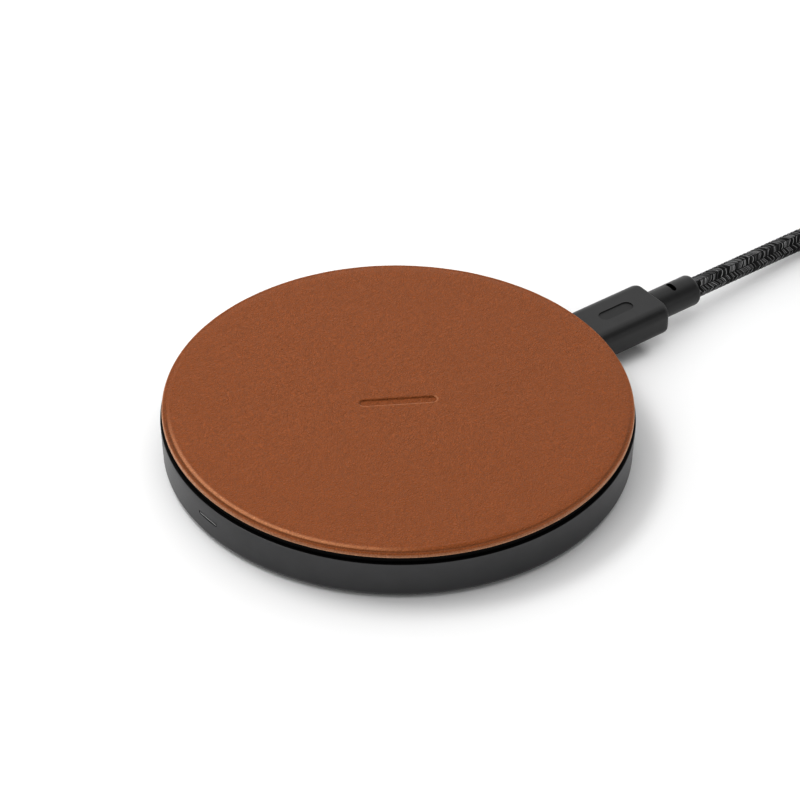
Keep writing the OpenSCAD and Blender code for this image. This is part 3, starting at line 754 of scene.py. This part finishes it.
def make_foot():
    r, _, top = node_box("silicone_foot")[1]
    profile = [(FOOT_IN, top), (r, top), (r, 0.25), (r - 0.08, 0.08), (r - 0.25, 0.0), (r - 3.0, 0.0),
               (r - 3.06, 0.24), (r - 3.12, 0.3), (r - 4.38, 0.3), (r - 4.44, 0.24), (r - 4.5, 0.0),
               (FOOT_IN, 0.0)]
    verts, faces = loft(revolved(profile, 256))
    obj = make_object("foot_ring", verts, faces, "pad", "silicone", SILICONE, sharp=40)
    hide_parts("silicone_foot")


def make_light_guide():
    """A pill whose face follows the housing's wall and has a lighter lower strip, a painted highlight. It
    leaves a gap in the slot below it and at one end."""
    face_r = node_box("housing")[1][0] - 0.03
    back, lift = -face_r + 2.37, LED_GAP / 2
    width, height = LED_SIZE[0] - LED_GAP, LED_SIZE[1] - LED_GAP
    rings = []
    for inset, drop in ((0.0, None), (0.0, 0.2), (0.03, 0.06), (0.08, 0.02), (0.2, 0.02), (0.24, 0.02)):
        ring = stadium_ring(width - 2 * inset, height - 2 * inset) + [lift, 0.0]
        y = np.full(len(ring), back) if drop is None else -np.sqrt((face_r - drop) ** 2 - ring[:, 0] ** 2)
        rings.append(np.column_stack([ring[:, 0], y, ring[:, 1] + LED_Z + lift]))
    block_size = (7, 2, 1.8)
    block_z = node_box("light_guide")[0][2] + block_size[2] / 2
    block = box_shape((0, back + block_size[1] / 2, block_z), block_size)
    verts, faces = moved(merged([loft(rings), block]), turn=LED_TURN)
    obj = make_object("status_light_guide", verts, faces, "pad", "light_guide_clear", [SMOKED, LIP_HIGHLIGHT],
                      sharp=30)
    # Painted highlight: the faces of the lower lip get the light strip's material.
    for face in obj.data.polygons:
        front = face.center.xy.length > (face_r - 0.13) * MM
        if front and face.normal.z > -0.6 and face.center.z < (LED_Z + lift - 0.04) * MM:
            face.material_index = 1
    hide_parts("light_guide")


# ---- plugs
def rounded_section(w, h, r, size):
    """A ring in x and z with round corners and its points spread evenly along it."""
    points = []
    for k, (x, z) in enumerate(((1, 1), (-1, 1), (-1, -1), (1, -1))):
        points += arc(x * (w / 2 - r), z * (h / 2 - r), r, 90 * k, 90 * k + 90, 24)
    points = np.array(points + points[:1])
    s = length_along(points)
    at = np.linspace(0, s[-1], size, endpoint=False)
    return np.stack([np.interp(at, s, points[:, k]) for k in range(2)], -1)


def grip_shape(w, h, length, corner, plan=1.2, edge=0.3, size=160):
    """A moulded grip along +Y: rear corners round in plan, and a soft edge at both ends."""
    stations = [edge * (1 - math.cos(math.radians(a))) for a in (0, 30, 60, 90)]
    stations += list(np.linspace(1.5, length - 2, 12))
    stations += [length - plan + plan * math.sin(math.radians(a))
                 for a in (0, 12, 24, 36, 48, 58, 67, 75, 82, 87, 90)]
    rings = []
    for y in stations:
        past = max(0.0, y - (length - plan))
        narrow = plan - math.sqrt(max(plan * plan - past * past, 0.0))
        near_end = edge - min(edge, y, length - y)
        soft = edge - math.sqrt(max(edge * edge - near_end * near_end, 0.0))
        side = max(narrow, soft)
        ring = rounded_section(w - 2 * side, h - 2 * soft, corner - soft, size)
        rings.append(np.column_stack([ring[:, 0], np.full(size, y), ring[:, 1]]))
    return loft(rings)


def relief_shape(d, length, mouth, size=96):
    """A round strain relief along +Y with a small step at the grip and a rounded mouth."""
    r, cord_r = d / 2, CORD_D / 2
    profile = [(r - 0.1, 0.0), (r, 0.1)] + [(r, y) for y in (2.0, 4.0, 5.0, 6.0, 8.0)]
    profile += arc(r - mouth, length - mouth, mouth, 0, 90, 9)
    profile += [(cord_r + 0.1, length), (cord_r - 0.1, length - 0.25), (cord_r - 0.1, length - 2.5)]
    angles = np.linspace(0, 2 * math.pi, size, endpoint=False)
    rings = [np.stack([r * np.cos(angles), np.full(size, y), r * np.sin(angles)], -1) for r, y in profile]
    return loft(rings)


RELIEF_D = 7.0
RELIEF_MOUTH, SLOT_Y, SLOT_SIZE, SLOT_DEPTH = 1.1, 5.5, (3.0, 1.15), 1.0
TOP_BAR_L, TOP_BAR_W, TOP_BAR_DEPTH, TOP_BAR_BACK = 9.0, 3.0, 0.22, 0.5
USB_C_SHELL_W, USB_C_SHELL_H = 8.25, 2.4
CARD_SIZE, CARD_Y = (8.6, 9.0, 0.8), 7.5


def paint_shade(obj, inside):
    """Gives the faces whose centre, in millimetres, is inside the cut the second material, a darker one
    that paints shade.
    """
    for face in obj.data.polygons:
        if inside(np.array(face.center) / MM):
            face.material_index = SHADE_INDEX


def relief_slot(y, z):
    """The cutter of one slot of a strain relief, at the surface at height z."""
    return stadium_along_z(*SLOT_SIZE, z - SLOT_DEPTH, z + SLOT_DEPTH, (0, y))


def make_relief(name, node, body_shape, slots, axis_z, turn=0.0):
    """A strain relief with a slot above and below whose walls are near black, painted shade."""
    obj = make_object(name, *body_shape, "cable", "grip_plastic", [GRIP, SLOT_SHADE], sharp=40)
    combine(obj, slots)
    middle = np.mean(slots[0][0], axis=0)[:2]
    across = np.array([math.cos(math.radians(turn)), math.sin(math.radians(turn))])

    def in_slot(p):
        off = p[:2] - middle
        side = off @ across
        level = math.hypot(side, p[2] - axis_z)
        return np.linalg.norm(off) < SLOT_SIZE[0] / 2 + 0.02 and CORD_D / 2 < level < RELIEF_D / 2 - 0.04

    paint_shade(obj, in_slot)
    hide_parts(node)
    return obj


def make_small_plug():
    """The USB-C plug's grip, with a plain recessed bar on top, and its strain relief."""
    low, high = node_box("usb_c_grip")
    middle = (low + high) / 2
    size = high - low
    verts, faces = moved(grip_shape(size[0], size[2], size[1], 2.3), (middle[0], low[1], middle[2]))
    grip = make_object("small_plug_grip", verts, faces, "cable", "grip_plastic", [GRIP, RECESS_SHADE], sharp=40)
    bar = stadium_along_z(TOP_BAR_L, TOP_BAR_W, high[2] - TOP_BAR_DEPTH, high[2] + 1,
                          (0, middle[1] - TOP_BAR_BACK), 90)
    shell = stadium_along_y(USB_C_SHELL_W, USB_C_SHELL_H, low[1] - 1, low[1] + 3, middle[2])
    card = box_shape((0, low[1] + CARD_Y, middle[2]), CARD_SIZE)
    combine(grip, [bar, shell])
    combine(grip, [card])

    # Painted shade: the bar's floor and walls get the darker recess material.
    def in_bar(p):
        beside = abs(p[0]) < TOP_BAR_W / 2 + 0.1 and abs(p[1] - middle[1]) < TOP_BAR_L / 2 + 0.7
        return beside and high[2] - TOP_BAR_DEPTH - 0.08 < p[2] < high[2] - 0.01

    paint_shade(grip, in_bar)
    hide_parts("usb_c_grip")
    low, high = node_box("strain_relief")
    middle = (low + high) / 2
    shape = relief_shape(high[0] - low[0], high[1] - low[1], RELIEF_MOUTH)
    slots = [relief_slot(low[1] + SLOT_Y, z) for z in (high[2], low[2])]
    shape = moved(shape, (middle[0], low[1], middle[2]))
    relief = make_relief("small_plug_relief", "strain_relief", shape, slots, PORT_Z)
    return [grip, relief]


A_GRIP, A_SHELL_W, A_SHELL_H, RELIEF_L, A_Z = (15.6, 22.0, 8.0), 12.0, 4.5, 11.9, 4.0
RIB_L, RIB_W, RIB_DEPTH, RIB_PITCH, RIB_START = 8.0, 0.9, 0.25, 2.4, 8


def at_large_plug(shape):
    """Places a shape drawn along +Y from the large plug's strain relief mouth."""
    c, s = math.cos(math.radians(TAIL_ANGLE)), math.sin(math.radians(TAIL_ANGLE))
    reach = TAIL[-1][0]
    x = LOW_RADII[0] + TOP_RADII[-1] * c + reach * s
    y = STORE_Y + TOP_RADII[-1] * s - reach * c
    return moved(shape, (x, y, A_Z), TAIL_ANGLE + 180)


def flipped(shape, length):
    """A shape along +Y turned end for end over that length."""
    verts, faces = shape
    return np.column_stack([verts[:, 0], length - verts[:, 1], verts[:, 2]]), faces


def make_large_plug():
    """The USB-A plug's grip, with three pressed ribs, and its strain relief."""
    width, length, height = A_GRIP
    shape = flipped(grip_shape(width, height, length, 2.5, plan=1.8), length)
    verts, faces = at_large_plug(moved(shape, (0, RELIEF_L, 0)))
    grip = make_object("large_plug_grip", verts, faces, "cable", "grip_plastic", GRIP, sharp=40)
    pocket = box_shape((0, RELIEF_L + length - 1.5, 0), (A_SHELL_W, 5.0, A_SHELL_H))
    ribs = [stadium_along_z(RIB_L, RIB_W, height / 2 - RIB_DEPTH, height / 2 + 1,
                            (0, RELIEF_L + RIB_START + RIB_PITCH * k)) for k in range(3)]
    combine(grip, [at_large_plug(shape) for shape in [pocket] + ribs])
    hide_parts("usb_a_grip")
    shape = flipped(relief_shape(RELIEF_D, RELIEF_L, RELIEF_MOUTH), RELIEF_L)
    slots = [at_large_plug(relief_slot(RELIEF_L - SLOT_Y, z)) for z in (RELIEF_D / 2, -RELIEF_D / 2)]
    relief = make_relief("large_plug_relief", "usb_a_relief", at_large_plug(shape), slots, A_Z, TAIL_ANGLE)
    return [grip, relief]


# ---- strap
TIE_SPAN = 2 * math.degrees(math.asin(TIE_WIDTH / 2 / np.mean(LOW_RADII)))
BAND_OUT = 0.22


def strap_outline(inset, corner=0.9):
    """The winding's outer shape as a closed run of (r, z) points with round corners."""
    r0, r1, h, q = STORE_IN + inset, STORE_OUT - inset, STORE_H - inset, CORD_D / 2
    points = np.array([(r0, inset), (r1, inset), (r1, CORD_D), (r1 - q, h), (r0 + q, h), (r0, CORD_D)])
    out = []
    for i, point in enumerate(points):
        a, b = [point + (other - point) / np.linalg.norm(other - point) * corner
                for other in (points[i - 1], points[(i + 1) % len(points)])]
        for t in np.linspace(0, 1, 7):
            out.append((1 - t) ** 2 * a + 2 * t * (1 - t) * point + t * t * b)
    return np.array(out)


def strap_band(outer, inner, width, closed=True, steps=14):
    """A band of webbing between two matching runs of (r, z) points, as wide as an arc of the coil.
    Its two long edges are thinner."""
    spans = np.linspace(-1, 1, steps)
    thinned = np.where(np.abs(spans) > 0.93, 0.35, 0.0)
    section = list(zip(spans, 1 - thinned)) + list(zip(spans[::-1], thinned))
    rings = []
    for out_point, in_point in zip(outer, inner):
        ring = []
        for span, share in section:
            r, z = in_point + (out_point - in_point) * share
            a = math.radians(TIE_ANGLE + span * width / 2)
            ring.append((LOW_RADII[0] + r * math.cos(a), STORE_Y + r * math.sin(a), z))
        rings.append(ring)
    if closed:
        rings.append(rings[0])
    return loft(rings, caps=not closed)


def make_strap():
    """The strap round the stored turns, with its free end lying over part of it."""
    middle = strap_outline(BAND_OUT)
    band = strap_band(middle, strap_outline(TIE_T), TIE_SPAN)
    run = slice(10, 34)
    tab = strap_band(strap_outline(0.0)[run], middle[run], TIE_SPAN * 0.94, closed=False)
    verts, faces = merged([band, tab])
    obj = make_object("coil_strap", verts, faces, "cable", "strap_webbing", WEBBING, sharp=50)
    bm = bmesh.new()
    bm.from_mesh(obj.data)
    bmesh.ops.remove_doubles(bm, verts=bm.verts, dist=1e-7)
    bm.to_mesh(obj.data)
    bm.free()
    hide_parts("cable_tie")
    return obj


# ---- make the pieces
METAL = metal_material()
# A lighter copy of the metal: a painted highlight along the foot chamfer.
EDGE_HIGHLIGHT = metal_material("edge_highlight_metal", 1.7)
GRIP = grip_material()
# Black plastic, made darker than it is as painted shade under the leather's overhang; also used as painted
# shade on the housing.
COVER_AND_SHADE = grained("cover_plastic", (0.003, 0.003, 0.003), (0.002, 0.002, 0.002), 0.15, rough=(0.5, 0.62),
                depth=0.006, Specular_IOR_Level=0.06)
# Near black: painted shade inside the strain relief slots.
SLOT_SHADE = grained("slot_shade", (0.0015, 0.0015, 0.0015), (0.001, 0.001, 0.001), 0.2, rough=(0.8, 0.9),
               Specular_IOR_Level=0.0)
# A darker copy of the grip plastic: painted shade in the grip's recessed bar.
RECESS_SHADE = grained("recessed_bar_shade", (0.007, 0.007, 0.0071), (0.0055, 0.0055, 0.0056), 0.15,
                 rough=(0.42, 0.5), depth=0.01, Specular_IOR_Level=0.38)
SILICONE = grained("silicone", (0.02, 0.02, 0.021), (0.014, 0.014, 0.015), 0.25, rough=(0.6, 0.75),
                   Specular_IOR_Level=0.3)
SMOKED = grained("smoked_light_guide", (0.03, 0.03, 0.031), (0.026, 0.026, 0.027), 0.4,
                 rough=(0.28, 0.36), depth=0.002, Specular_IOR_Level=0.5)
# A light grey: the painted highlight on the light guide's lower lip.
LIP_HIGHLIGHT = grained("light_guide_lip_highlight", (0.3, 0.3, 0.3), (0.24, 0.24, 0.24), 0.2, rough=(0.4, 0.5), depth=0.005)
WEBBING = grained("strap_webbing", (0.022, 0.022, 0.023), (0.006, 0.006, 0.006), 0.09,
                  rough=(0.75, 0.9), depth=0.09, Specular_IOR_Level=0.2)

make_housing()
make_cover()
make_foot()
make_light_guide()
small_plug = make_small_plug()
large_plug = make_large_plug()
strap = make_strap()


# ---- carried CAD nodes
def copper_wire():
    s = Shader("enamelled_copper", Metallic=0.85)
    turns = s.add("ShaderNodeTexWave", {"Vector": s.coords, "Scale": 900.0, "Distortion": 2.5,
                                        "Detail": 2.0}, bands_direction="DIAGONAL").outputs["Fac"]
    s.to(s.mix(turns, (0.32, 0.10, 0.035), (0.72, 0.30, 0.12)), "Base Color")
    s.to(s.span(turns, 0, 1, 0.42, 0.26), "Roughness")
    s.to(s.bump(turns, 0.06 * MM, 0.7), "Normal")
    return s.mat


def solder_mask():
    s = Shader("board_laminate", Coat_Weight=0.4, Coat_Roughness=0.15)
    tracks = s.add("ShaderNodeTexBrick", {"Vector": s.coords, "Scale": 260.0, "Mortar Size": 0.02,
                                          "Color1": (0.008, 0.06, 0.028), "Color2": (0.01, 0.075, 0.034),
                                          "Mortar": (0.02, 0.13, 0.06)})
    s.to(tracks.outputs["Color"], "Base Color")
    s.to(s.span(s.noise(500.0), 0.3, 0.7, 0.32, 0.44), "Roughness")
    s.to(s.bump(tracks.outputs["Fac"], 0.03 * MM, 0.5), "Normal")
    return s.mat


# For each material slot: light and dark colour, grain in millimetres, roughness, other sockets.
FINISHES = {
    "glue_film": ((0.55, 0.45, 0.3), (0.46, 0.37, 0.24), 0.5, (0.3, 0.45), {}),
    "screw_steel": ((0.58, 0.58, 0.6), (0.46, 0.46, 0.48), 0.2, (0.24, 0.36), {"Metallic": 1.0}),
    "tape": ((0.78, 0.72, 0.6), (0.7, 0.64, 0.52), 0.3, (0.5, 0.65), {}),
    "ferrite": ((0.035, 0.035, 0.038), (0.02, 0.02, 0.022), 0.3, (0.45, 0.6), {}),
    "foam": ((0.14, 0.14, 0.145), (0.08, 0.08, 0.085), 0.35, (0.85, 0.95), {"Specular_IOR_Level": 0.2}),
    "thermistor_resin": ((0.03, 0.2, 0.1), (0.02, 0.15, 0.07), 0.3, (0.15, 0.25), {"Coat_Weight": 0.5}),
    "connector_steel": ((0.62, 0.62, 0.64), (0.52, 0.52, 0.54), 0.25, (0.2, 0.32), {"Metallic": 1.0}),
    "connector_polymer": ((0.02, 0.02, 0.021), (0.013, 0.013, 0.014), 0.2, (0.4, 0.5), {}),
    "connector_polymer_white": ((0.72, 0.72, 0.7), (0.64, 0.64, 0.62), 0.3, (0.35, 0.45), {}),
    "gold_contacts": ((0.86, 0.62, 0.24), (0.74, 0.5, 0.17), 0.2, (0.18, 0.28), {"Metallic": 1.0}),
    "chip_resin": ((0.028, 0.028, 0.03), (0.018, 0.018, 0.02), 0.15, (0.5, 0.6), {}),
    "capacitor_ceramic": ((0.4, 0.27, 0.15), (0.32, 0.2, 0.1), 0.3, (0.35, 0.5), {}),
    "inductor_ferrite": ((0.07, 0.07, 0.075), (0.045, 0.045, 0.05), 0.2, (0.5, 0.65), {}),
    "led_lens": ((0.88, 0.88, 0.82), (0.8, 0.8, 0.74), 0.3, (0.2, 0.3), {"Transmission_Weight": 0.2}),
    "thermal_silicone": ((0.36, 0.43, 0.51), (0.3, 0.37, 0.45), 0.4, (0.6, 0.75), {}),
    "polyimide": ((0.6, 0.3, 0.045), (0.5, 0.23, 0.03), 0.5, (0.2, 0.3), {"Coat_Weight": 0.3}),
}


def dress_carried_nodes():
    """Gives every CAD node that no piece replaces the finish of its material slot."""
    made = {"enamelled_copper": copper_wire(), "board_laminate": solder_mask()}
    for slot, (light, dark, grain, rough, extra) in FINISHES.items():
        made[slot] = grained(slot, light, dark, grain, rough, depth=0.01, **extra)
    for row in frame["record"]["subparts"]:
        if row["material_slot"] in made:
            mesh = frame["nodes"][row["node"]].data
            mesh.materials.clear()
            mesh.materials.append(made[row["material_slot"]])


dress_carried_nodes()


# ---- stage and light
FLOOR_HALF = 1500


def make_stage():
    corners = [(x * FLOOR_HALF, y * FLOOR_HALF, 0) for x, y in ((-1, -1), (1, -1), (1, 1), (-1, 1))]
    mesh = new_mesh("floor", corners, [(0, 1, 2, 3)])
    floor = linked("floor", mesh)
    s = Shader("floor_white", Roughness=0.9, Specular_IOR_Level=0.0)
    s.to(s.mix(s.noise(8.0), (0.875, 0.875, 0.875), (0.885, 0.885, 0.885)), "Base Color")
    mesh.materials.append(s.mat)


def softbox(name, azimuth, elevation, distance, size, power):
    """A rectangular light that looks at the pad. Distance and size are in metres."""
    way = toward(azimuth, elevation)
    data = bpy.data.lights.new(name, "AREA")
    data.shape = "RECTANGLE"
    data.size, data.size_y = size
    data.energy = power
    light = linked(name, data)
    light.matrix_world = Matrix.Translation(way * distance) @ looking_back(way)
    return light


SKY, FLAG_SHADE, LEFT_SHARE, SIDE_SHADE = 1.27, 0.95, -0.07, 0.8


def make_sky():
    """An even tent of light, a little darker on the left, with dark flags round the camera and on the
    right."""
    world = bpy.data.worlds.new("studio")
    world.use_nodes = True
    tree = world.node_tree
    direction = tree.nodes.new("ShaderNodeTexCoord").outputs["Generated"]

    def facing(way):
        node = tree.nodes.new("ShaderNodeVectorMath")
        node.operation = "DOT_PRODUCT"
        tree.links.new(direction, node.inputs[0])
        node.inputs[1].default_value = way
        return node.outputs["Value"]

    def ramp(value, limits, results):
        node = tree.nodes.new("ShaderNodeMapRange")
        node.interpolation_type = "SMOOTHSTEP"
        tree.links.new(value, node.inputs["Value"])
        for socket, number in zip(("From Min", "From Max", "To Min", "To Max"), limits + results):
            node.inputs[socket].default_value = number
        return node.outputs["Result"]

    flag = ramp(facing(toward(0, CAMERA_ELEVATION + 8)), (0.84, 0.97), (1.0, 1.0 - FLAG_SHADE))
    left = ramp(facing(toward(-90, 20)), (-1.0, 1.0), (SKY * (1 - LEFT_SHARE), SKY * (1 + LEFT_SHARE)))
    side = ramp(facing(toward(80, 40)), (0.83, 0.97), (1.0, 1.0 - SIDE_SHADE))

    def times(a, b):
        product = tree.nodes.new("ShaderNodeMath")
        product.operation = "MULTIPLY"
        tree.links.new(a, product.inputs[0])
        tree.links.new(b, product.inputs[1])
        return product.outputs[0]

    background = tree.nodes["Background"]
    background.inputs["Color"].default_value = (1.0, 1.0, 1.0, 1.0)
    tree.links.new(times(times(flag, side), left), background.inputs["Strength"])
    bpy.context.scene.world = world


def make_light():
    """The sky and two softboxes. The softboxes cast no shadow of the small plug and the cord."""
    make_sky()
    for light in (softbox("key", -92, 62, 1.3, (0.84, 0.84), 1.4),
                  softbox("rim", -120, 60, 0.5, (0.26, 0.13), 0.78)):
        spared = bpy.data.collections.new("spared_by_" + light.name)
        light.light_linking.blocker_collection = spared
        for obj in small_plug + [cord]:
            spared.objects.link(obj)
        for member in spared.collection_objects:
            member.light_linking.link_state = "EXCLUDE"
    view = bpy.context.scene.view_settings
    view.view_transform = "Standard"
    view.gamma = 0.85


make_stage()
make_light()
